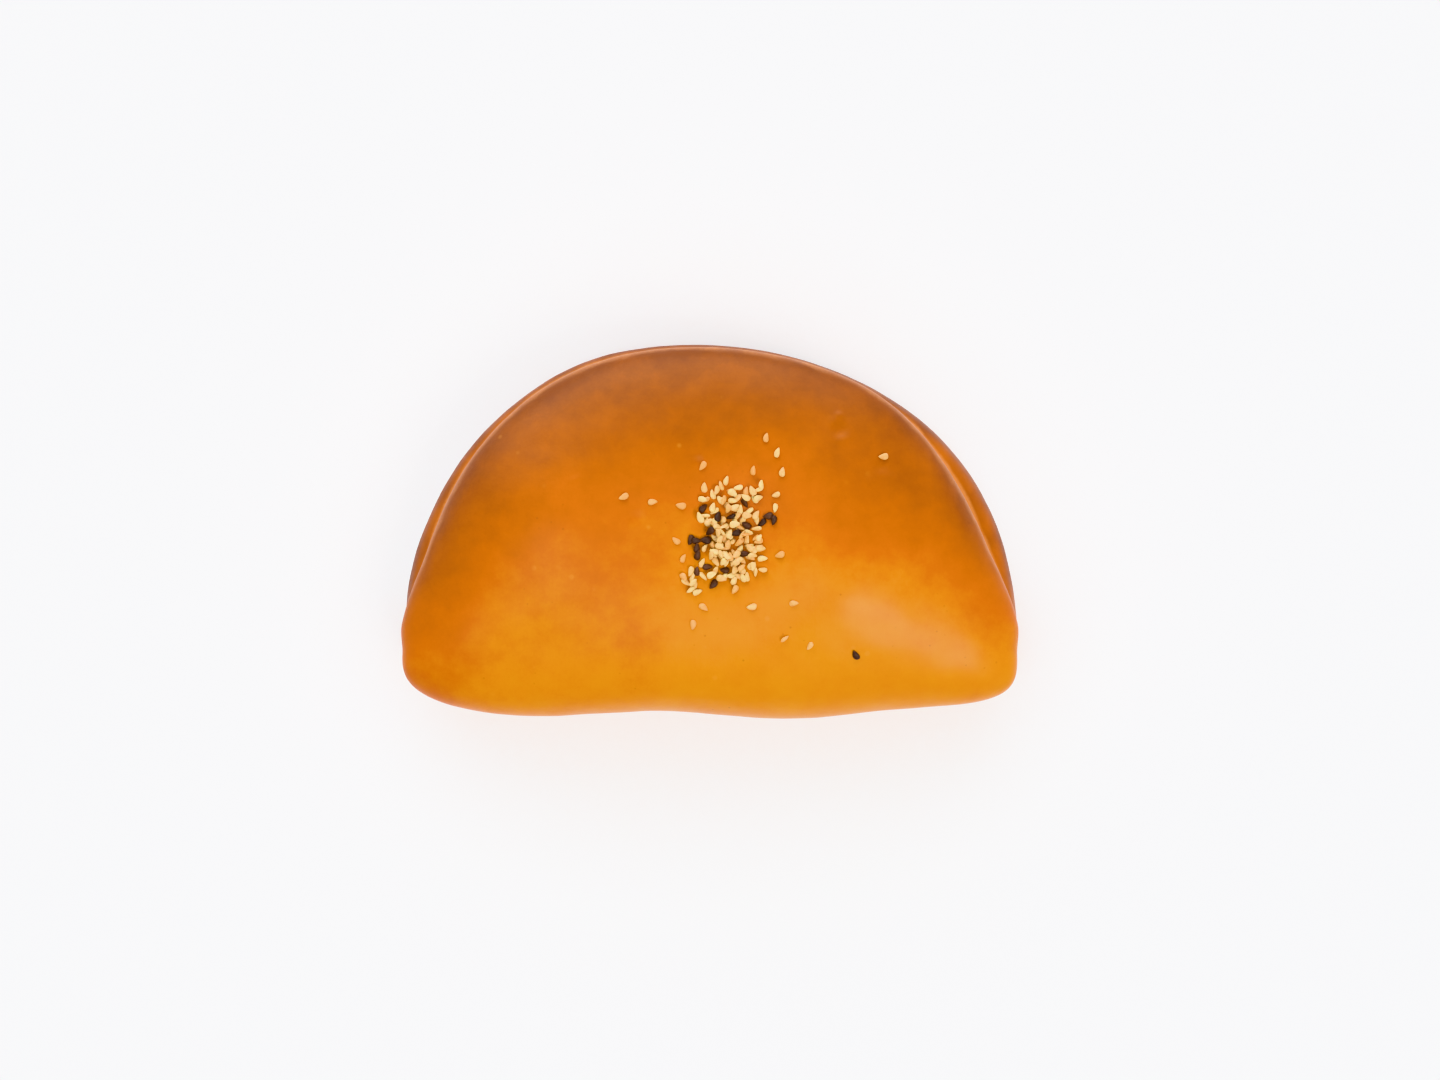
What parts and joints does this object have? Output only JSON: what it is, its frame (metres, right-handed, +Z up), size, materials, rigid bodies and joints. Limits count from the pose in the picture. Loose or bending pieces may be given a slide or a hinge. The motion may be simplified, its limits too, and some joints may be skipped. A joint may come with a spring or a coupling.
{
  "type": "cheese pastry",
  "caption": "Half-moon bun of soft dough folded over its filling, with a glazed brown crust, a crease along the round rim and sesame seeds heaped on the crown.",
  "frame": {"origin": "on the base, at the middle of the bounding box", "axes": "+Z up from the base to the crown, +X along the straight fold, +Y from the fold in front to the round rim behind"},
  "size_m": [0.1662, 0.1004, 0.0442],
  "materials": {
    "crust": "baked bread crust brushed with egg: golden orange on the crown, browner towards the rim, softly glossy",
    "white_seeds": "toasted white sesame, smooth and nearly matte",
    "black_seeds": "black sesame, finely wrinkled and nearly matte"
  },
  "bodies": {
    "root": {"folded_bun": "crust"}
  },
  "joints": []
}
